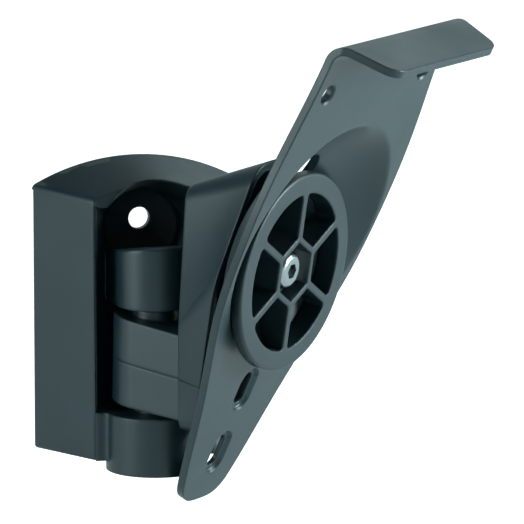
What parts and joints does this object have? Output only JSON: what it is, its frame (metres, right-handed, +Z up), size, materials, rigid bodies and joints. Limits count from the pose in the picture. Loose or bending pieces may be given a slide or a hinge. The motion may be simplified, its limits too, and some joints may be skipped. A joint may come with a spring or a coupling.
{
  "type": "speaker wall bracket",
  "caption": "Black wall bracket for a loudspeaker: a wall housing, an arm that swivels in it and a lipped plate that tilts on a clamp.",
  "frame": {"origin": "middle of the housing's wall face, halfway up its straight sides", "axes": "+Y into the wall, +Z up, +X to the right of someone who faces the wall"},
  "size_m": [0.1447, 0.1422, 0.1772],
  "materials": {
    "housing_black": "satin black, finely grained",
    "arm_black": "satin black, finely grained",
    "plate_black": "satin black powder coat",
    "disc_black": "satin black",
    "zinc": "bright zinc plating",
    "acetal": "black acetal",
    "insert_brass": "turned"
  },
  "bodies": {
    "wall": {"wall_housing": "housing_black", "hinge_bolt": "zinc", "hinge_washer": "zinc", "hinge_insert": "insert_brass"},
    "arm": {"arm_shell": "arm_black", "arm_lower_cover": "arm_black", "bush_upper": "acetal", "bush_lower": "acetal", "swivel_washer_upper": "acetal", "swivel_washer_lower": "acetal", "clamp_disc": "disc_black", "clamp_washer": "zinc", "clamp_screw": "zinc", "clamp_nut": "zinc", "clamp_cup": "arm_black"},
    "plate": {"speaker_plate": "plate_black"}
  },
  "joints": [
    {"name": "swivel", "type": "hinge", "parent": "wall", "child": "arm", "pos_m": [0, -0.0297, 0], "axis": [0, 0, 1], "range_deg": [-87, 3]},
    {"name": "tilt", "type": "hinge", "parent": "arm", "child": "plate", "pos_m": [0.07516, -0.11318, 0.01704], "axis": [0.7431, 0.6691, 0], "range_deg": [-28, 0]}
  ]
}
